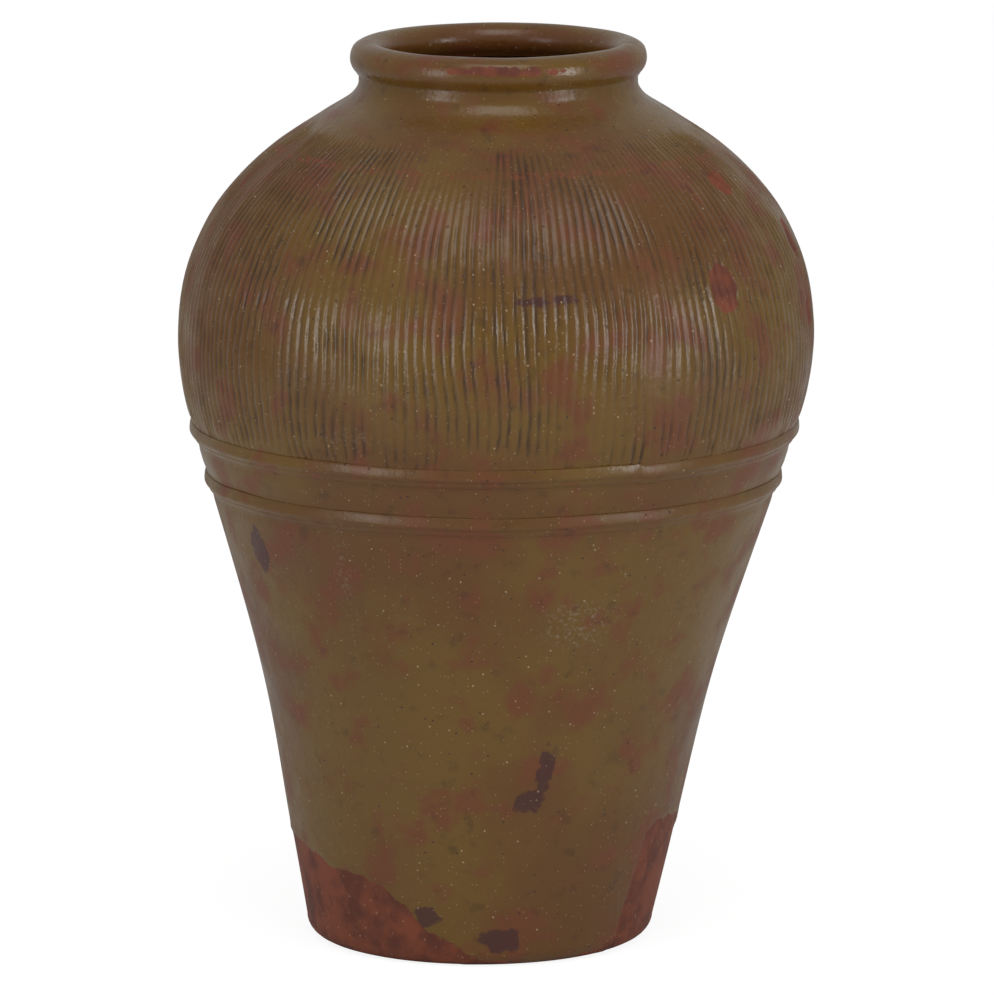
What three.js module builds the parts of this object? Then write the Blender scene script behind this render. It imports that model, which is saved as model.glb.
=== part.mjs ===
// Ribbed stoneware storage jar, built by the potter in sections that are luted together.
// Millimetres, +Z up. The origin is on the ground, below the centre of the belly.
// Each clay piece is a section turned about the upright axis. One shared formula then
// leans all of them sideways, because the old jar stands a little askew.

import * as THREE from 'three';

// Clay thickness and the slip joints between the pieces
const WALL_THICKNESS = 10;
const SLAB_THICKNESS = 14;
const SLIP_GAP = 0.3;

// Outline of the body: how far each station is above the one before, and its radius
const FOOT_EDGE_ROUND = 12;
const FOOT_RADIUS = 108.4;
const HEEL_RISE = 63;
const HEEL_RADIUS = 121.3;
const FLANK_RISE = 75;
const FLANK_RADIUS = 136.3;
const WAIST_RISE = 153;
const WAIST_RADIUS = 181.2;
const SWELL_RISE = 42;
const SWELL_RADIUS = 193.4;
const BELLY_RISE = 39;
const BELLY_RADIUS = 196.5;
const HAUNCH_RISE = 46;
const HAUNCH_RADIUS = 187.3;
const SLOPE_RISE = 36;
const SLOPE_RADIUS = 166.8;
const CAP_RISE = 29;
const CAP_RADIUS = 137;
const NECK_ROOT_RISE = 19;
const NECK_ROOT_RADIUS = 108.6;
const THROAT_RISE = 12;
const THROAT_RADIUS = 90.6;
const NECK_RISE = 8;
const NECK_RADIUS = 86.4;
const NECK_STRAIGHT = 4.7;
const COLLAR_DEPTH = 20;

// Rolled rim
const ROLL_RADIUS = 11.4;
const ROLL_OVERHANG = 5.3;
const ROLL_SEAT_WIDTH = 13;

// Applied cordons, one below and one above the waist seam
const CORDON_WIDTH = 12;
const CORDON_THICKNESS = 2.4;
const CORDON_EDGE_THICKNESS = 0.5;
const LOWER_CORDON_DROP = 15.5;
const UPPER_CORDON_LIFT = 15.5;

// Sideways lean of the axis: the foot and the rim against the belly
const FOOT_LEAN = -10.5;
const RIM_LEAN = 1.7;
const LEAN_POWER = 1.3;

// Fineness of the solids
const SEGMENTS_AROUND = 48;
const ROUND_STEPS = 4;
const ROLL_STEPS = 14;
const CORDON_STEPS = 4;

const STATIONS = stackStations([
  [FOOT_EDGE_ROUND, FOOT_RADIUS],
  [HEEL_RISE, HEEL_RADIUS],
  [FLANK_RISE, FLANK_RADIUS],
  [WAIST_RISE, WAIST_RADIUS],
  [SWELL_RISE, SWELL_RADIUS],
  [BELLY_RISE, BELLY_RADIUS],
  [HAUNCH_RISE, HAUNCH_RADIUS],
  [SLOPE_RISE, SLOPE_RADIUS],
  [CAP_RISE, CAP_RADIUS],
  [NECK_ROOT_RISE, NECK_ROOT_RADIUS],
  [THROAT_RISE, THROAT_RADIUS],
  [NECK_RISE, NECK_RADIUS],
]);

const WAIST_Z = STATIONS[3].z;
const BELLY_Z = STATIONS[5].z;
const CAP_Z = STATIONS[8].z;
const NECK_TOP_Z = STATIONS.at(-1).z + NECK_STRAIGHT;
const COLLAR_Z = NECK_TOP_Z - COLLAR_DEPTH;
const ROLL_SEAT_Z = NECK_TOP_Z + SLIP_GAP;
const ROLL_SEAT_DROP = Math.sqrt(ROLL_RADIUS ** 2 - (ROLL_SEAT_WIDTH / 2) ** 2);
const ROLL_CENTRE_Z = ROLL_SEAT_Z + ROLL_SEAT_DROP;
const ROLL_CENTRE_RADIUS = NECK_RADIUS + ROLL_OVERHANG - ROLL_RADIUS;
const RIM_CREST_Z = ROLL_CENTRE_Z + ROLL_RADIUS;

/** Turns rises into heights and gives each station the slope of its neighbours. */
function stackStations(pairs) {
  let height = 0;
  const stations = pairs.map(([rise, radius]) => {
    height += rise;
    return { z: height, radius, slope: 0 };
  });
  for (let i = 1; i < stations.length - 1; i += 1) {
    const [below, here, above] = [stations[i - 1], stations[i], stations[i + 1]];
    const lowStep = here.z - below.z;
    const highStep = above.z - here.z;
    const lowSlope = (here.radius - below.radius) / lowStep;
    const highSlope = (above.radius - here.radius) / highStep;
    here.slope = (lowSlope * highStep + highSlope * lowStep) / (lowStep + highStep);
  }
  const [first, second] = stations;
  first.slope = (second.radius - first.radius) / (second.z - first.z);
  return stations;
}

/** Outer radius and its slope at a height: a smooth curve through the stations. */
function outline(z) {
  const last = STATIONS.at(-1);
  if (z >= last.z) {
    return { radius: last.radius, slope: 0 };
  }
  const upper = Math.max(1, STATIONS.findIndex((station) => station.z > z));
  const [a, b] = [STATIONS[upper - 1], STATIONS[upper]];
  const step = b.z - a.z;
  const t = (z - a.z) / step;
  const radius = (2 * t ** 3 - 3 * t ** 2 + 1) * a.radius
    + (t ** 3 - 2 * t ** 2 + t) * step * a.slope
    + (3 * t ** 2 - 2 * t ** 3) * b.radius
    + (t ** 3 - t ** 2) * step * b.slope;
  const slope = (6 * t ** 2 - 6 * t) * (a.radius - b.radius) / step
    + (3 * t ** 2 - 4 * t + 1) * a.slope
    + (3 * t ** 2 - 2 * t) * b.slope;
  return { radius, slope };
}

/** Inner radius at a height: the wall keeps its thickness square to its surface. */
function innerRadius(z) {
  const { radius, slope } = outline(z);
  return radius - WALL_THICKNESS * Math.sqrt(1 + slope ** 2);
}

/** Sideways offset of the jar's axis at a height. */
function lean(z) {
  if (z < BELLY_Z) {
    return FOOT_LEAN * ((BELLY_Z - z) / BELLY_Z) ** LEAN_POWER;
  }
  return RIM_LEAN * ((z - BELLY_Z) / (RIM_CREST_Z - BELLY_Z)) ** LEAN_POWER;
}

/** Evenly spread values from one end to the other, both ends included. */
function spread(from, to, steps) {
  return Array.from({ length: steps + 1 }, (_, i) => from + (to - from) * i / steps);
}

/** Section of a wall ring between two seams: up the outside and down the inside. */
function wallSection(low, high, outerSteps, innerSteps) {
  const outside = spread(low, high, outerSteps).map((z) => [outline(z).radius, z]);
  const inside = spread(high, low, innerSteps).map((z) => [innerRadius(z), z]);
  return [...outside, ...inside, outside[0]];
}

/** Section of the floor disc, with the rounded edge that the jar stands on. */
function slabSection() {
  const edge = spread(-Math.PI / 2, 0, ROUND_STEPS).map((angle) => [
    FOOT_RADIUS - FOOT_EDGE_ROUND * (1 - Math.cos(angle)),
    FOOT_EDGE_ROUND * (1 + Math.sin(angle)),
  ]);
  return [[0, 0], ...edge, [outline(SLAB_THICKNESS).radius, SLAB_THICKNESS], [0, SLAB_THICKNESS]];
}

/** Section of the rolled rim: a round coil with a flat seat on the neck. */
function rollSection() {
  const seatAngle = Math.atan2(-ROLL_SEAT_DROP, ROLL_SEAT_WIDTH / 2);
  const coil = spread(seatAngle, Math.PI - seatAngle, ROLL_STEPS).map((angle) => [
    ROLL_CENTRE_RADIUS + ROLL_RADIUS * Math.cos(angle),
    ROLL_CENTRE_Z + ROLL_RADIUS * Math.sin(angle),
  ]);
  return [...coil, coil[0]];
}

/** Section of an applied strip: its back follows the wall and its face is rounded. */
function cordonSection(centreZ) {
  const half = CORDON_WIDTH / 2;
  const heights = spread(centreZ - half, centreZ + half, CORDON_STEPS);
  const bulge = CORDON_THICKNESS - CORDON_EDGE_THICKNESS;
  const back = heights.map((z) => [outline(z).radius + SLIP_GAP, z]);
  const face = back.map(([radius, z]) => {
    const across = (z - centreZ) / half;
    return [radius + CORDON_EDGE_THICKNESS + bulge * Math.cos(across * Math.PI / 2), z];
  });
  return [...face, ...back.reverse(), face[0]];
}

/** Turns a section about the upright axis and leans the solid with the jar. */
function turnPiece(name, section, material) {
  const points = section.map(([radius, z]) => new THREE.Vector2(radius, z));
  const geometry = new THREE.LatheGeometry(points, SEGMENTS_AROUND);
  geometry.rotateX(Math.PI / 2);
  const position = geometry.getAttribute('position');
  for (let i = 0; i < position.count; i += 1) {
    position.setX(i, position.getX(i) + lean(position.getZ(i)));
  }
  geometry.computeVertexNormals();
  const mesh = new THREE.Mesh(geometry, material);
  mesh.name = name;
  return mesh;
}

/** A material of its own for each piece, so that pieces can be recoloured singly. */
function glaze() {
  return new THREE.MeshStandardMaterial({ color: '#655233', roughness: 0.32, metalness: 0 });
}

function bareClay() {
  return new THREE.MeshStandardMaterial({ color: '#6e4030', roughness: 0.8, metalness: 0 });
}

function buildJar() {
  const jar = new THREE.Group();
  jar.name = 'ribbed_storage_jar';
  const lowerWall = wallSection(SLAB_THICKNESS + SLIP_GAP, WAIST_Z, 12, 6);
  const bellyWall = wallSection(WAIST_Z + SLIP_GAP, CAP_Z, 12, 8);
  const shoulderCap = wallSection(CAP_Z + SLIP_GAP, COLLAR_Z, 4, 3);
  const neckCollar = wallSection(COLLAR_Z + SLIP_GAP, NECK_TOP_Z, 6, 4);
  jar.add(turnPiece('base_slab', slabSection(), bareClay()));
  jar.add(turnPiece('lower_wall', lowerWall, glaze()));
  jar.add(turnPiece('lower_cordon', cordonSection(WAIST_Z - LOWER_CORDON_DROP), glaze()));
  jar.add(turnPiece('upper_cordon', cordonSection(WAIST_Z + UPPER_CORDON_LIFT), glaze()));
  jar.add(turnPiece('belly_wall', bellyWall, glaze()));
  jar.add(turnPiece('shoulder_cap', shoulderCap, glaze()));
  jar.add(turnPiece('neck_collar', neckCollar, glaze()));
  jar.add(turnPiece('rim_roll', rollSection(), glaze()));
  return jar;
}

export default buildJar();
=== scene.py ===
"""Ribbed stoneware storage jar: a hand-made, glazed jar with applied cordons and a bare foot."""

import math

import bpy
import numpy as np
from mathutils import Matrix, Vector


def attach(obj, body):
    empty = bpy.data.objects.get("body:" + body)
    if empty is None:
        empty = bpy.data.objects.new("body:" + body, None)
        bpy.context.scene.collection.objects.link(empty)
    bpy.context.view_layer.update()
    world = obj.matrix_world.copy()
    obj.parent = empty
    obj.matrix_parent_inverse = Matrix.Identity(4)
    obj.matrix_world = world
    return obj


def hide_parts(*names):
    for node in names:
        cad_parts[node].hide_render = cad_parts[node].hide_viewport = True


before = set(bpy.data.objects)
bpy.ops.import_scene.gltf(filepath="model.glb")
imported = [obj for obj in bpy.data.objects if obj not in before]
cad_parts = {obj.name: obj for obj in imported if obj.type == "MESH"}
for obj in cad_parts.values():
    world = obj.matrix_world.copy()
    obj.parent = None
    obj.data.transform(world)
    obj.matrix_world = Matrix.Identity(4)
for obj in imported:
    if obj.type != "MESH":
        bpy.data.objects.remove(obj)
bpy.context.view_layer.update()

MM = 0.001

# The outline of the clay, in millimetres: height and outer radius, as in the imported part
STATIONS = np.array([
    (12, 108.4), (75, 121.3), (150, 136.3), (303, 181.2), (345, 193.4), (384, 196.5),
    (430, 187.3), (466, 166.8), (495, 137.0), (514, 108.6), (526, 90.6), (534, 86.4),
])
WALL = 10.0
SLAB_TOP = 14.0
WAIST = 303.0
BELLY = 384.0
CAP_SEAM = 495.0
NECK_TOP = 538.7
COLLAR_DEPTH = 20.0
COLLAR_SEAM = NECK_TOP - COLLAR_DEPTH
ROLL_RADIUS = 11.4
ROLL_CENTRE = (80.3, 548.37)
ROLL_SEAT_Z = 539.0
RIM_CREST = ROLL_CENTRE[1] + ROLL_RADIUS
FOOT_LEAN = -10.5
RIM_LEAN = 1.7
LEAN_POWER = 1.3

# Unevenness of the whole surface, in millimetres. The skin lies just inside the solids
SKIN = -0.25
UNEVEN = 0.45

# Wander of the surface: the jar's mean radius in millimetres, and the sum that counts as full
MEAN_RADIUS = 170.0
WANDER_PEAK = 1.5

# Combed ribs: their count, then their depth, heights and fades in millimetres
RIB_COUNT = 193
RIB_DEPTH = 1.5
RIB_TOP = 512.0
RIB_FOOT = 326.0
RIB_FOOT_FADE = 10.0
RIB_TOP_FADE = 9.0

# Combed ribs, in plain numbers: how they end, sway, narrow, break up and wear away
RIB_TOP_REACH = 0.3
RIB_SWAY = 0.42
RIB_NARROWNESS = 1.8
RIB_BREAK = 0.16
RIB_MEAN_WEAR = 0.78
RIB_WEAR_SWING = 0.5
RIB_LEAST_LEFT = 0.25

# Applied cordons below and above the waist seam, in millimetres
CORDON_HEIGHT = 2.7
CORDON_HALF_WIDTH = 6.0
CORDON_SETBACK = 15.5
CORDON_BACK = 2.0
CORDON_WANDER = 0.5
EDGE_TUCK_DEPTH = 0.3
LIP_GROOVE_DEPTH = 0.7

# Section of a cordon, in plain numbers. The lip's groove is placed in shares of the half width
CORDON_ROUNDNESS = 1.25
CORDON_MEAN_HEIGHT = 0.9
CORDON_HEIGHT_SWING = 0.12
EDGE_TUCK_POWER = 6
LIP_GROOVE_PLACE = -0.42
LIP_GROOVE_WIDTH = 0.14

# Ends of the cordons' strips: angles in degrees, drop in millimetres and spans in radians.
# The notch is a share of the cordon's height
LOWER_STRIP_END = -118.0
UPPER_STRIP_END = 28.0
STRIP_END_DROP = 1.4
STRIP_END_SPAN = 0.35
STRIP_END_NOTCH = 0.45
STRIP_END_NOTCH_SPAN = 0.012

# Finger grooves along each cordon, in millimetres: each one's side and depth, then how far
# it lies from the cordon's middle and how wide it is
FINGER_GROOVES = ((-1, 0.9), (1, 0.7))
FINGER_GROOVE_PLACE = 7.5
FINGER_GROOVE_WIDTH = 2.2

# Steps and beads of the glaze, in millimetres. The beads keep to these heights
GLAZE_STEP = 0.5
GLAZE_STEP_WIDTH = 0.8
GLAZE_BEAD_HEIGHT = 0.35
GLAZE_BEAD_SETBACK = 2.0
GLAZE_BEAD_WIDTH = 1.5
GLAZE_BEAD_TOP = 300.0
DRIP_MIDDLE = 120.0
DRIP_REACH = 40.0
DRIP_BEAD_HEIGHT = 0.5
DRIP_BEAD_WIDTH = 1.3

# Lower edge of the glaze: its wobble in millimetres, and the share of a height below the edge
# that counts as depth inside bare clay
EDGE_WOBBLE = 2.5
EDGE_SLANT = 0.7

# Rolled rim: fullness as shares of the roll, its arris in degrees, unevenness in millimetres
RIM_FULLNESS = 0.955
ARRIS_RISE = 0.04
ARRIS_PLACE = 38.0
ARRIS_WIDTH = 16.0
RIM_UNEVEN = 0.22
RIM_SETBACK = 0.2
RIM_WANDER_STRETCH = 3

# Where the roll turns into the jar's inside, in radians round its section
RIM_INSIDE_STARTS = 1.9
RIM_INSIDE_FULL = 2.6

# Fineness of the meshes. The two steps and SEAM_ROW are in millimetres, the rest are counts
COLUMNS_PER_RIB = 6
RIB_COLUMNS = RIB_COUNT * COLUMNS_PER_RIB
PLAIN_COLUMNS = RIB_COUNT * 2
ROW_STEP = 3.0
NECK_ROW_STEP = 1.2
SEAM_ROW = 0.25
OUTLINE_SAMPLES = 400
FOOT_ROUND_ROWS = 9
RIM_ROWS = 30
CORDON_ROWS = 25

# Height of the glaze's lower edge round the foot: angle from the front in degrees, height in mm
GLAZE_EDGE = np.array([
    (-180, 22), (-150, 38), (-120, 58), (-90, 66), (-65, 64), (-53, 57), (-33, 52), (-27, 42),
    (-17, 22), (-10, 16), (0, 6), (8, 2), (30, 0), (44, 4), (50, 12), (53, 42), (56, 78),
    (63, 84), (80, 80), (100, 50), (130, 30), (180, 22),
])

# Marks on the surface: angle from the front in degrees, then height, half width and half
# height in mm. A depth of FAR mm stands for anywhere well away from a mark's edge
BARE_SPOTS = [
    (47, 425, 11, 15), (63, 481, 10, 6), (82, 440, 8, 12), (80, 396, 6, 9),
    (0, 551.6, 34, 2.6), (24, 550.5, 9, 1.8), (-150, 430, 12, 16), (140, 400, 10, 14),
]
DARK_SPOTS = [
    (-58, 259, 9, 13), (7, 18, 12, 8), (-17, 32, 8, 7), (16, 128, 5, 15), (12, 108, 9, 7),
    (9, 427, 16, 2),
]
PALE_SCUFFS = [(20, 223, 24, 17), (-72, 355, 4, 4), (-33, 250, 5, 40), (-28, 340, 26, 5)]
FAR = 20.0

# Colours of the glaze and the clay, linear
OLIVE = (0.124, 0.065, 0.010, 1)
BROWN = (0.106, 0.045, 0.009, 1)
RED_BROWN = (0.128, 0.036, 0.013, 1)
# The dark colour is used for the soot clouds and pits in the glaze, and also for the painted shade in
# the grooves of the ribs
SOOT_AND_GROOVE_SHADE = (0.028, 0.013, 0.006, 1)
SPECKLE = (0.34, 0.26, 0.16, 1)
PALE = (0.21, 0.165, 0.115, 1)
MAROON = (0.050, 0.016, 0.014, 1)
CLAY = (0.160, 0.038, 0.014, 1)
DARK_CLAY = (0.085, 0.019, 0.008, 1)

# Fineness of the patterns in the material, in repeats per metre
BROAD_CLOUDS = 7.0
RED_PATCHES = 34.0
CLAY_CLOUDS = 55.0
SOOT_CLOUDS = 90.0
RAGGED_MARKS = 130.0
RAGGED_EDGE = 150.0
BIG_SPECKS = 150.0
PITS = 210.0
GRAIN = 260.0
CLAY_SPECKS = 300.0
BROKEN_RING = 320.0
SCUFF_GRAIN = 420.0
FINE_SPECKS = 420.0

# Roughness, shine and bump. The gloss grows between the first two heights. Heights, the
# bump's depth and the seam ring's half widths are in metres
MATT_BELOW = 0.27
GLOSSY_ABOVE = 0.36
WALL_ROUGHNESS = 0.36
BELLY_ROUGHNESS = 0.23
CLOUD_ROUGHNESS = 0.14
CLAY_ROUGHNESS = 0.62
SPECULAR_LEVEL = 0.34
BUMP_STRENGTH = 0.55
BUMP_DEPTH = 0.0009
SEAM_RING_EDGE = 0.0026
SEAM_RING_CORE = 0.0008

# Camera, as far off and as high as the photograph shows, in metres and degrees
CAMERA_AIM = Vector((0.0006, 0.0, 0.2736))
CAMERA_DISTANCE = 5.9
CAMERA_ELEVATION = 10.5
CAMERA_REACH = 100.0
FRAME_HEIGHT = 0.6156
SENSOR = 36.0

# Studio: places and sizes in metres, and the levels of the white surroundings and floor
SOFTBOX_AIM = Vector((0, 0, 0.35))
SOFTBOX_DISTANCE = 2.5
WORLD_LIGHT = 0.5
WORLD_SEEN = 1.0
FLOOR_SIZE = 60.0
FLOOR_GREY = 0.8
FLOOR_ROUGHNESS = 0.9
FLOOR_GLOW = 1.22
FLOOR_GLOW_SHARE = 0.72

random = np.random.default_rng(7)


def smooth(value, low, high):
    """0 below low, 1 above high, and a smooth step between them."""
    t = np.clip((value - low) / (high - low), 0, 1)
    return t * t * (3 - 2 * t)


def bell(value, middle, width):
    """1 at the middle, falling away smoothly on both sides."""
    return np.exp(-(((value - middle) / width) ** 2))


def station_slopes():
    """The outline's slope at each station, from its neighbours."""
    steps = np.diff(STATIONS[:, 0])
    secants = np.diff(STATIONS[:, 1]) / steps
    middle = (secants[:-1] * steps[1:] + secants[1:] * steps[:-1]) / (steps[:-1] + steps[1:])
    return np.concatenate([secants[:1], middle, [0.0]])


SLOPES = station_slopes()


def outline(z):
    """Outer radius and slope of the clay at these heights."""
    z = np.asarray(z, float)
    inside = np.minimum(z, STATIONS[-1, 0] - 1e-6)
    low = np.clip(np.searchsorted(STATIONS[:, 0], inside, side="right") - 1, 0, len(STATIONS) - 2)
    z0, r0 = STATIONS[low, 0], STATIONS[low, 1]
    z1, r1 = STATIONS[low + 1, 0], STATIONS[low + 1, 1]
    step = z1 - z0
    t = (inside - z0) / step
    m0, m1 = SLOPES[low], SLOPES[low + 1]
    radius = ((2 * t**3 - 3 * t**2 + 1) * r0 + (t**3 - 2 * t**2 + t) * step * m0
              + (3 * t**2 - 2 * t**3) * r1 + (t**3 - t**2) * step * m1)
    slope = ((6 * t**2 - 6 * t) * (r0 - r1) / step
             + (3 * t**2 - 4 * t + 1) * m0 + (3 * t**2 - 2 * t) * m1)
    above = z > STATIONS[-1, 0]
    return np.where(above, STATIONS[-1, 1], radius), np.where(above, 0.0, slope)


def lean(z):
    """Sideways offset of the jar's axis at these heights."""
    below = FOOT_LEAN * (np.maximum(BELLY - z, 0) / BELLY) ** LEAN_POWER
    above = RIM_LEAN * (np.maximum(z - BELLY, 0) / (RIM_CREST - BELLY)) ** LEAN_POWER
    return below + above


def arc_rows(low, high, step=ROW_STEP):
    """Heights from low to high that are evenly spaced along the outline."""
    fine = np.linspace(low, high, OUTLINE_SAMPLES)
    radius = outline(fine)[0]
    along = np.concatenate([[0], np.cumsum(np.hypot(np.diff(fine), np.diff(radius)))])
    count = max(2, round(along[-1] / step) + 1)
    marks = np.linspace(0, along[-1], count)
    marks = np.concatenate([[0, SEAM_ROW], marks[1:-1], [along[-1] - SEAM_ROW, along[-1]]])
    return np.interp(marks, along, fine)


def edge_wander_function():
    """A fixed small wobble of the glaze's edge round the jar."""
    parts = [(n, random.uniform(0, 2 * math.pi)) for n in (7, 13, 22, 31, 47)]
    return lambda phi: sum(np.sin(n * phi + start) for n, start in parts) / len(parts)


def fixed_wander(shortest, longest, waves=14):
    """A wander with its waves drawn once, so that all pieces share one surface."""
    terms = []
    for _ in range(waves):
        length = random.uniform(shortest, longest)
        terms.append((round(2 * math.pi * MEAN_RADIUS / length * random.uniform(-1, 1)),
                      2 * math.pi / length * random.uniform(-1, 1),
                      random.uniform(0, 2 * math.pi)))

    def value(phi, z):
        total = sum(np.sin(around * phi + up * z + start) for around, up, start in terms)
        return np.clip(total / waves**0.5 / WANDER_PEAK, -1, 1)

    return value


# What is drawn at random, once and in this order. Lengths are in millimetres
EDGE_WANDER = edge_wander_function()
RIB_STRENGTH = random.uniform(0.5, 1.0, RIB_COUNT)
RIB_REACH = random.uniform(-9, 7, RIB_COUNT)
RIB_BEAT = 2 * math.pi / random.uniform(14, 34, RIB_COUNT)
BROAD_WANDER = fixed_wander(60, 260)
DRIFT_WANDER = fixed_wander(45, 160)
FADE_WANDER = fixed_wander(30, 120)


def spot_depth(phi, z, radius, spots):
    """How far a point lies inside the nearest of these oval spots, in millimetres."""
    deepest = np.full(np.broadcast(phi, z).shape, -FAR)
    for angle, height, half_width, half_height in spots:
        turn = (phi - math.radians(angle) + math.pi) % (2 * math.pi) - math.pi
        across = np.hypot(turn * radius / half_width, (z - height) / half_height)
        deepest = np.maximum(deepest, (1 - across) * min(half_width, half_height))
    return deepest


def bare_depth(phi, z, radius):
    """How far a point lies inside bare clay, in millimetres: below zero is glazed."""
    edge = np.interp(np.degrees(phi), GLAZE_EDGE[:, 0], GLAZE_EDGE[:, 1])
    edge = edge + EDGE_WOBBLE * EDGE_WANDER(phi)
    foot = np.clip((edge - z) * EDGE_SLANT, -FAR, FAR)
    return np.maximum(foot, spot_depth(phi, z, radius, BARE_SPOTS))


def ribs(phi, z):
    """Depth of the combed ribs, from 0 on their crests to 1 in their grooves."""
    turn = phi / (2 * math.pi) * RIB_COUNT + RIB_SWAY * DRIFT_WANDER(phi, z)
    index = np.floor(turn).astype(int) % RIB_COUNT
    reach = RIB_REACH[index]
    groove = np.abs(np.cos(math.pi * turn)) ** RIB_NARROWNESS
    groove = groove * (1 - RIB_BREAK + RIB_BREAK * np.sin(RIB_BEAT[index] * z + index))
    ends = smooth(z, RIB_FOOT + reach, RIB_FOOT + RIB_FOOT_FADE + reach)
    ends = ends * (1 - smooth(z, RIB_TOP - RIB_TOP_FADE, RIB_TOP + RIB_TOP_REACH * reach))
    worn = np.clip(RIB_MEAN_WEAR + RIB_WEAR_SWING * FADE_WANDER(phi, z), RIB_LEAST_LEFT, 1.0)
    return groove * ends * worn * RIB_STRENGTH[index]


def finger_grooves(z):
    """The finger grooves that press the cordons down, one above and one below each."""
    total = 0
    for centre in (WAIST - CORDON_SETBACK, WAIST + CORDON_SETBACK):
        for side, depth in FINGER_GROOVES:
            place = centre + side * FINGER_GROOVE_PLACE
            total = total + depth * bell(z, place, FINGER_GROOVE_WIDTH)
    return total


def glaze_beads(z, bare, dark):
    """Where the glaze swells: along its lower edge and round the drips on the lower wall."""
    edge_bead = GLAZE_BEAD_HEIGHT * bell(bare, -GLAZE_BEAD_SETBACK, GLAZE_BEAD_WIDTH)
    drip_bead = DRIP_BEAD_HEIGHT * bell(dark, 0, DRIP_BEAD_WIDTH)
    near_drips = np.abs(z - DRIP_MIDDLE) < DRIP_REACH
    return edge_bead * (z < GLAZE_BEAD_TOP) + drip_bead * near_drips


def outer_skin(phi, z):
    """Radius of the outer surface, with the masks that the material reads."""
    radius, slope = outline(z)
    groove = ribs(phi, z)
    bare = bare_depth(phi, z, radius)
    dark = spot_depth(phi, z, radius, DARK_SPOTS)
    sunken = UNEVEN * (BROAD_WANDER(phi, z) - 1) * 0.5
    relief = SKIN + sunken - RIB_DEPTH * groove - finger_grooves(z)
    relief = relief - GLAZE_STEP * smooth(bare, -GLAZE_STEP_WIDTH, GLAZE_STEP_WIDTH)
    relief = relief + glaze_beads(z, bare, dark)
    masks = {
        "groove": groove,
        "bare": bare,
        "dark": dark,
        "pale": spot_depth(phi, z, radius, PALE_SCUFFS),
        "inside": np.zeros_like(groove),
    }
    return radius + relief * np.sqrt(1 + slope**2), masks


def angles(columns):
    """Angles from the front for this many columns, from -pi up to pi."""
    return np.linspace(-math.pi, math.pi, columns, endpoint=False)


def ring_points(phi, radius, z):
    """Points of a grid of rings, in metres, leant with the jar."""
    x = radius * np.sin(phi) + lean(z)
    y = -radius * np.cos(phi)
    return np.stack(np.broadcast_arrays(x, y, z), axis=-1) * MM


def inner_rings(phi, low, high, count):
    """Rings of the inner surface from high down to low."""
    z = np.linspace(high, low, count)[:, None]
    radius, slope = outline(z[:, 0])
    radius = (radius - WALL * np.sqrt(1 + slope**2))[:, None] * np.ones_like(phi)
    return ring_points(phi, radius, z * np.ones_like(phi))


def mark_crisp_rings(mesh, columns, rings):
    """Keeps the shading of the surface clear of the joint faces behind these rings."""
    ends = np.empty(len(mesh.edges) * 2, np.int32)
    mesh.edges.foreach_get("vertices", ends)
    ring_of = ends.reshape(-1, 2) // columns
    crisp = (ring_of[:, 0] == ring_of[:, 1]) & np.isin(ring_of[:, 0], rings)
    attribute = mesh.attributes.new("sharp_edge", "BOOLEAN", "EDGE")
    attribute.data.foreach_set("value", crisp)


def make_piece(name, node, rings, masks, seam_ring, closed=True):
    """Builds one closed piece from its rings and hangs it on the frame.

    The faces that join it to its neighbours start at seam_ring and at the last ring.
    """
    ring_count, columns = rings.shape[:2]
    index = np.arange(ring_count * columns).reshape(ring_count, columns)
    above = np.roll(index, -1, axis=0) if closed else index[1:]
    base = index if closed else index[:-1]
    quads = np.stack([base, np.roll(base, -1, axis=1), np.roll(above, -1, axis=1), above], axis=-1)
    faces = quads.reshape(-1, 4).tolist()
    if not closed:
        faces.append(index[0][::-1].tolist())
        faces.append(index[-1].tolist())
    mesh = bpy.data.meshes.new(name)
    mesh.from_pydata(rings.reshape(-1, 3).tolist(), [], faces)
    for label, values in masks.items():
        attribute = mesh.attributes.new(label, "FLOAT", "POINT")
        attribute.data.foreach_set("value", values.reshape(-1).astype(np.float32))
    mesh.shade_smooth()
    mark_crisp_rings(mesh, columns, (0, seam_ring, seam_ring + 1, ring_count - 1))
    mesh.materials.append(SURFACE)
    piece = bpy.data.objects.new(name, mesh)
    bpy.context.scene.collection.objects.link(piece)
    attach(piece, "root")
    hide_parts(node)
    return piece


def with_inside(masks, inside_rings, columns):
    """Masks for the outer rings, followed by those of the inner rings."""
    joined = {}
    for label, values in masks.items():
        fill = {"inside": 1.0, "groove": 0.0}.get(label, -FAR)
        joined[label] = np.vstack([values, np.full((inside_rings, columns), fill)])
    return joined


def make_wall(name, node, low, high, columns, inside_rings, row_step=ROW_STEP):
    """A wall section between two seams: relief outside, a plain glazed surface inside."""
    phi = angles(columns)[None, :]
    z = arc_rows(low, high, row_step)[:, None] * np.ones_like(phi)
    radius, masks = outer_skin(phi, z)
    outside = ring_points(phi, radius, z)
    inside = inner_rings(phi, low, high, inside_rings)
    make_piece(name, node, np.concatenate([outside, inside]),
               with_inside(masks, inside_rings, columns), len(outside) - 1)


def make_slab():
    """The floor disc, with the rounded edge that the jar stands on."""
    phi = angles(PLAIN_COLUMNS)[None, :]
    foot_round = STATIONS[0, 0]
    turn = np.linspace(-math.pi / 2, 0, FOOT_ROUND_ROWS)
    z = np.append(foot_round * (1 + np.sin(turn)), SLAB_TOP)[:, None] * np.ones_like(phi)
    edge = np.append(foot_round * (np.cos(turn) - 1), 0)[:, None]
    radius, masks = outer_skin(phi, np.maximum(z, foot_round))
    masks["bare"] = bare_depth(phi, z, radius)
    masks["dark"] = spot_depth(phi, z, radius, DARK_SPOTS)
    rings = ring_points(phi, radius + edge, z)
    make_piece("floor_disc", "base_slab", rings, masks, len(rings), closed=False)


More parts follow.
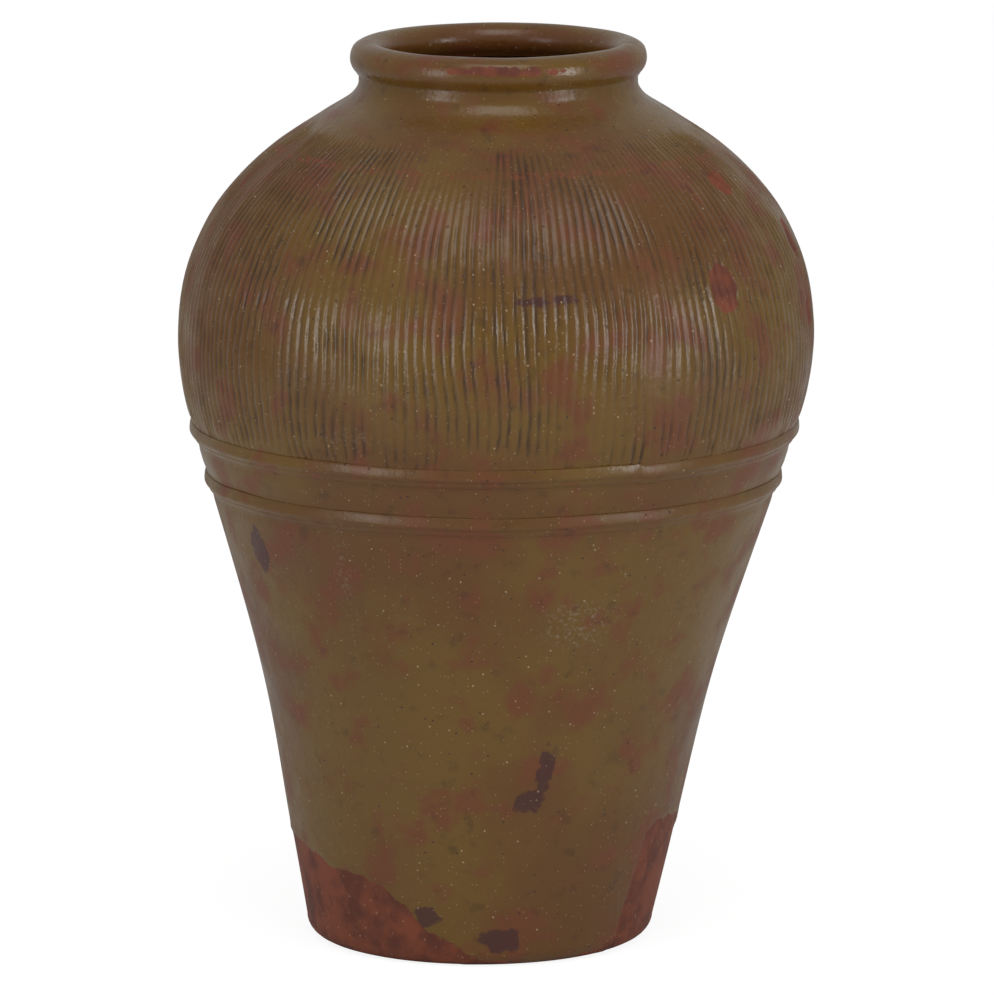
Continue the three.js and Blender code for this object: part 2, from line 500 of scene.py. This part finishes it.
def make_rim():
    """The rolled rim, with a soft arris round its outer top edge."""
    phi = angles(PLAIN_COLUMNS)[None, :]
    seat = math.asin((ROLL_SEAT_Z - ROLL_CENTRE[1]) / ROLL_RADIUS)
    turn = np.linspace(seat, math.pi - seat, RIM_ROWS)[:, None]
    arris = bell(turn, math.radians(ARRIS_PLACE), math.radians(ARRIS_WIDTH))
    size = ROLL_RADIUS * (RIM_FULLNESS + ARRIS_RISE * arris)
    size = size + RIM_UNEVEN * BROAD_WANDER(phi, RIM_WANDER_STRETCH * turn * ROLL_RADIUS) - RIM_SETBACK
    size[[0, -1]] = ROLL_RADIUS
    radius = ROLL_CENTRE[0] + size * np.cos(turn)
    z = ROLL_CENTRE[1] + size * np.sin(turn)
    bare = spot_depth(phi, z, radius, BARE_SPOTS)
    masks = {
        "groove": np.zeros_like(radius),
        "bare": np.where(radius > ROLL_CENTRE[0], bare, -FAR),
        "dark": np.full_like(radius, -FAR),
        "pale": np.full_like(radius, -FAR),
        "inside": smooth(turn, RIM_INSIDE_STARTS, RIM_INSIDE_FULL) * np.ones_like(phi),
    }
    rings = ring_points(phi, radius, z)
    make_piece("rolled_rim", "rim_roll", rings, masks, len(rings) - 1)


def cordon_ridge(phi, across, centre, near_end):
    """Height of an applied strip over the wall, notched where its ends overlap."""
    unevenness = CORDON_HEIGHT_SWING * FADE_WANDER(phi, centre)
    height = CORDON_HEIGHT * (CORDON_MEAN_HEIGHT + unevenness)
    height = height * (1 - STRIP_END_NOTCH * bell(near_end, 0, STRIP_END_NOTCH_SPAN))
    ridge = height * (1 - np.abs(across) ** CORDON_ROUNDNESS)
    ridge = ridge - EDGE_TUCK_DEPTH * np.abs(across) ** EDGE_TUCK_POWER
    return ridge - LIP_GROOVE_DEPTH * bell(across, LIP_GROOVE_PLACE, LIP_GROOVE_WIDTH)


def make_cordon(name, node, centre, strip_end):
    """An applied strip, pressed on by hand. Its ends overlap at one angle."""
    phi = angles(PLAIN_COLUMNS)[None, :]
    across = np.linspace(-1, 1, CORDON_ROWS)[:, None]
    past_end = (phi - math.radians(strip_end)) % (2 * math.pi)
    near_end = np.minimum(past_end, 2 * math.pi - past_end)
    middle = centre + CORDON_WANDER * DRIFT_WANDER(phi, centre)
    middle = middle - STRIP_END_DROP * np.exp(-past_end / STRIP_END_SPAN)
    z = middle + CORDON_HALF_WIDTH * across
    base = outline(z.ravel())[0].reshape(z.shape) + SKIN
    face = ring_points(phi, base + cordon_ridge(phi, across, centre, near_end), z)
    back = ring_points(phi, (base - CORDON_BACK)[::-1], z[::-1])
    masks = outer_skin(phi, z)[1]
    masks["groove"] = np.zeros_like(z)
    both = {label: np.vstack([values, values[::-1]]) for label, values in masks.items()}
    make_piece(name, node, np.concatenate([face, back]), both, len(face) - 1)


class Graph:
    """Small helpers that add nodes to one material."""

    def __init__(self, name):
        self.material = bpy.data.materials.new(name)
        self.material.use_nodes = True
        self.tree = self.material.node_tree
        self.shader = self.tree.nodes["Principled BSDF"]
        self.place = self.add("ShaderNodeTexCoord").outputs["Object"]

    def add(self, kind, inputs=(), **settings):
        made = self.tree.nodes.new(kind)
        for key, value in settings.items():
            setattr(made, key, value)
        for key, value in dict(inputs).items():
            if isinstance(value, bpy.types.NodeSocket):
                self.tree.links.new(value, made.inputs[key])
            else:
                made.inputs[key].default_value = value
        return made

    def noise(self, scale, detail=3.0, roughness=0.55):
        return self.add("ShaderNodeTexNoise", {
            "Vector": self.place, "Scale": scale, "Detail": detail, "Roughness": roughness,
        }).outputs["Fac"]

    def mask(self, name):
        return self.add("ShaderNodeAttribute", attribute_name=name).outputs["Fac"]

    def math(self, operation, a, b=0.5):
        return self.add("ShaderNodeMath", {0: a, 1: b}, operation=operation).outputs[0]

    def times(self, a, b):
        return self.math("MULTIPLY", a, b)

    def ramp(self, value, low, high, top=1.0, bottom=0.0):
        return self.add("ShaderNodeMapRange", {
            "Value": value, "From Min": low, "From Max": high, "To Min": bottom, "To Max": top,
        }, interpolation_type="SMOOTHSTEP").outputs["Result"]

    def mix(self, factor, a, b):
        return self.add("ShaderNodeMix", {0: factor, 6: a, 7: b}, data_type="RGBA").outputs[2]

    def blend(self, factor, a, b):
        return self.add("ShaderNodeMix", {0: factor, 2: a, 3: b}).outputs[0]

    def specks(self, scale, size, share):
        """Scattered small dots: one in some of the cells of this scale."""
        cells = self.add("ShaderNodeTexVoronoi", {"Vector": self.place, "Scale": scale})
        dot = self.ramp(cells.outputs["Distance"], size, size * 0.5)
        pick = self.add("ShaderNodeSeparateColor", {"Color": cells.outputs["Color"]}).outputs[0]
        return self.times(dot, self.ramp(pick, 1 - share, 1.02 - share))


def cloudy_glaze(graph, broad, medium):
    """Olive and brown clouds with red-brown patches and soot, with painted shade in the grooves of the
    ribs.
    """
    glaze = graph.mix(graph.ramp(broad, 0.42, 0.62), OLIVE, BROWN)
    glaze = graph.mix(graph.ramp(medium, 0.50, 0.66, 0.8), glaze, RED_BROWN)
    glaze = graph.mix(graph.ramp(graph.noise(SOOT_CLOUDS, 4.0), 0.56, 0.74, 0.35), glaze, SOOT_AND_GROOVE_SHADE)
    # Painted shade: the grooves of the ribs are darkened towards the dark soot colour
    return graph.mix(graph.ramp(graph.mask("groove"), 0.15, 0.9, 0.75), glaze, SOOT_AND_GROOVE_SHADE)


def add_seam_ring(graph, glaze, height):
    """The thin broken ring of clay where the cap joins the wall."""
    away = graph.math("ABSOLUTE", graph.math("SUBTRACT", height, CAP_SEAM * MM))
    ring = graph.times(graph.ramp(away, SEAM_RING_EDGE, SEAM_RING_CORE),
                       graph.ramp(graph.noise(BROKEN_RING), 0.46, 0.6))
    return graph.mix(graph.times(ring, 0.7), glaze, CLAY)


def add_marks(graph, glaze):
    """A redder inside, dark drips with ragged edges, and pale scuffs."""
    glaze = graph.mix(graph.times(graph.mask("inside"), 0.45), glaze, RED_BROWN)
    ragged = graph.ramp(graph.noise(RAGGED_MARKS, 4.0), 0.2, 0.8, 5.0)
    dark = graph.math("ADD", graph.mask("dark"), ragged)
    glaze = graph.mix(graph.ramp(dark, 1.6, 3.2, 0.85), glaze, MAROON)
    scuff = graph.times(graph.ramp(graph.mask("pale"), -6.0, 9.0),
                        graph.ramp(graph.noise(SCUFF_GRAIN, 6.0, 0.7), 0.5, 0.66))
    return graph.mix(graph.times(scuff, 0.6), glaze, PALE)


def add_specks(graph, glaze, pits):
    """Pale specks of two sizes and dark pits."""
    glaze = graph.mix(graph.times(graph.specks(BIG_SPECKS, 0.12, 0.3), 0.75), glaze, SPECKLE)
    glaze = graph.mix(graph.times(graph.specks(FINE_SPECKS, 0.22, 0.22), 0.5), glaze, SPECKLE)
    return graph.mix(graph.times(pits, 0.8), glaze, SOOT_AND_GROOVE_SHADE)


def bare_clay(graph):
    """Red clay with darker clouds and small pale grains."""
    clay = graph.mix(graph.ramp(graph.noise(CLAY_CLOUDS, 5.0), 0.4, 0.66), CLAY, DARK_CLAY)
    return graph.mix(graph.times(graph.specks(CLAY_SPECKS, 0.22, 0.2), 0.5), clay, SPECKLE)


def surface_bump(graph, medium, pits):
    """Fine grain and soft lumps, with the pits sunk in."""
    lumps = graph.math("ADD", graph.times(graph.noise(GRAIN, 4.0), 0.55), graph.times(medium, 1.1))
    pitted = graph.math("SUBTRACT", lumps, graph.times(pits, 0.5))
    return graph.add("ShaderNodeBump", {
        "Height": pitted, "Strength": BUMP_STRENGTH, "Distance": BUMP_DEPTH,
    }).outputs["Normal"]


def jar_surface():
    """Uneven ash glaze over red clay, bare where the glaze missed or was touched."""
    graph = Graph("ash_glaze_on_red_clay")
    broad = graph.noise(BROAD_CLOUDS, 4.0)
    medium = graph.noise(RED_PATCHES, 5.0)
    pits = graph.specks(PITS, 0.2, 0.12)
    height = graph.add("ShaderNodeSeparateXYZ", {0: graph.place}).outputs["Z"]
    glaze = cloudy_glaze(graph, broad, medium)
    glaze = add_seam_ring(graph, glaze, height)
    glaze = add_marks(graph, glaze)
    glaze = add_specks(graph, glaze, pits)
    ragged = graph.ramp(graph.noise(RAGGED_EDGE, 5.0), 0.2, 0.8, 3.0)
    bare = graph.ramp(graph.math("ADD", graph.mask("bare"), ragged), 1.1, 1.9)
    smoothest = graph.ramp(height, MATT_BELOW, GLOSSY_ABOVE, BELLY_ROUGHNESS, WALL_ROUGHNESS)
    gloss = graph.math("ADD", smoothest, graph.ramp(medium, 0.35, 0.7, CLOUD_ROUGHNESS))
    looks = {
        "Base Color": graph.mix(bare, glaze, bare_clay(graph)),
        "Roughness": graph.blend(bare, gloss, CLAY_ROUGHNESS),
        "Normal": surface_bump(graph, medium, pits),
    }
    for socket, value in looks.items():
        graph.tree.links.new(value, graph.shader.inputs[socket])
    graph.shader.inputs["Specular IOR Level"].default_value = SPECULAR_LEVEL
    return graph.material


SURFACE = jar_surface()


def build_jar():
    """The eight pieces, from the floor up, with the two cordons last."""
    make_slab()
    make_wall("tapered_wall", "lower_wall", SLAB_TOP, WAIST, PLAIN_COLUMNS, 6)
    make_wall("ribbed_wall", "belly_wall", WAIST, CAP_SEAM, RIB_COLUMNS, 5)
    make_wall("ribbed_cap", "shoulder_cap", CAP_SEAM, COLLAR_SEAM, RIB_COLUMNS, 4, NECK_ROW_STEP)
    make_wall("flared_neck", "neck_collar", COLLAR_SEAM, ROLL_SEAT_Z, PLAIN_COLUMNS, 5, NECK_ROW_STEP)
    make_rim()
    make_cordon("cordon_below", "lower_cordon", WAIST - CORDON_SETBACK, LOWER_STRIP_END)
    make_cordon("cordon_above", "upper_cordon", WAIST + CORDON_SETBACK, UPPER_STRIP_END)


def make_camera():
    """A long lens that frames the jar as the photograph does."""
    data = bpy.data.cameras.new("camera")
    data.sensor_width = SENSOR
    data.lens = SENSOR * CAMERA_DISTANCE / FRAME_HEIGHT
    data.clip_end = CAMERA_REACH
    camera = bpy.data.objects.new("camera", data)
    rise = math.radians(CAMERA_ELEVATION)
    back = Vector((0.0, -math.cos(rise), math.sin(rise)))
    camera.location = CAMERA_AIM + back * CAMERA_DISTANCE
    camera.rotation_euler = (-back).to_track_quat("-Z", "Y").to_euler()
    bpy.context.scene.collection.objects.link(camera)
    bpy.context.scene.camera = camera


def make_softbox(name, azimuth, elevation, width, height, level):
    """An area light aimed at the belly, from this angle right of the front."""
    data = bpy.data.lights.new(name, "AREA")
    data.shape = "RECTANGLE"
    data.size = width
    data.size_y = height
    data.energy = level * math.pi * width * height
    light = bpy.data.objects.new(name, data)
    side, rise = math.radians(azimuth), math.radians(elevation)
    out = Vector((math.sin(side) * math.cos(rise), -math.cos(side) * math.cos(rise), math.sin(rise)))
    light.location = SOFTBOX_AIM + out * SOFTBOX_DISTANCE
    light.rotation_euler = (-out).to_track_quat("-Z", "Y").to_euler()
    bpy.context.scene.collection.objects.link(light)


def make_softboxes():
    """A tall strip on each side for the highlights, and a broad soft light above."""
    make_softbox("softbox_left", -47.0, 8.0, width=0.36, height=1.2, level=11.0)
    make_softbox("softbox_right", 54.0, 10.0, width=0.36, height=1.2, level=14.0)
    make_softbox("softbox_top", 0.0, 62.0, width=1.4, height=1.4, level=3.0)


def make_world():
    """White surroundings that light the jar less than they show."""
    world = bpy.data.worlds.new("studio")
    world.use_nodes = True
    bpy.context.scene.world = world
    nodes, links = world.node_tree.nodes, world.node_tree.links
    path = nodes.new("ShaderNodeLightPath")
    level = nodes.new("ShaderNodeMapRange")
    level.inputs["To Min"].default_value = WORLD_LIGHT
    level.inputs["To Max"].default_value = WORLD_SEEN
    links.new(path.outputs["Is Camera Ray"], level.inputs["Value"])
    nodes["Background"].inputs["Color"].default_value = (1, 1, 1, 1)
    links.new(level.outputs["Result"], nodes["Background"].inputs["Strength"])


def make_floor():
    """A pale floor that goes to white and keeps the jar's shadow."""
    bpy.ops.mesh.primitive_plane_add(size=FLOOR_SIZE, location=(0, 0, 0))
    floor = bpy.context.object
    floor.name = "studio_floor"
    material = bpy.data.materials.new("studio_white")
    material.use_nodes = True
    nodes, links = material.node_tree.nodes, material.node_tree.links
    shader = nodes["Principled BSDF"]
    shader.inputs["Base Color"].default_value = (FLOOR_GREY, FLOOR_GREY, FLOOR_GREY, 1)
    shader.inputs["Roughness"].default_value = FLOOR_ROUGHNESS
    glow = nodes.new("ShaderNodeEmission")
    glow.inputs["Strength"].default_value = FLOOR_GLOW
    path = nodes.new("ShaderNodeLightPath")
    share = nodes.new("ShaderNodeMath")
    share.operation = "MULTIPLY"
    share.inputs[1].default_value = FLOOR_GLOW_SHARE
    blend = nodes.new("ShaderNodeMixShader")
    links.new(path.outputs["Is Camera Ray"], share.inputs[0])
    links.new(share.outputs[0], blend.inputs[0])
    links.new(shader.outputs[0], blend.inputs[1])
    links.new(glow.outputs[0], blend.inputs[2])
    links.new(blend.outputs[0], nodes["Material Output"].inputs["Surface"])
    floor.data.materials.append(material)


build_jar()
make_camera()
make_world()
make_floor()
make_softboxes()
bpy.context.scene.view_settings.view_transform = "Standard"
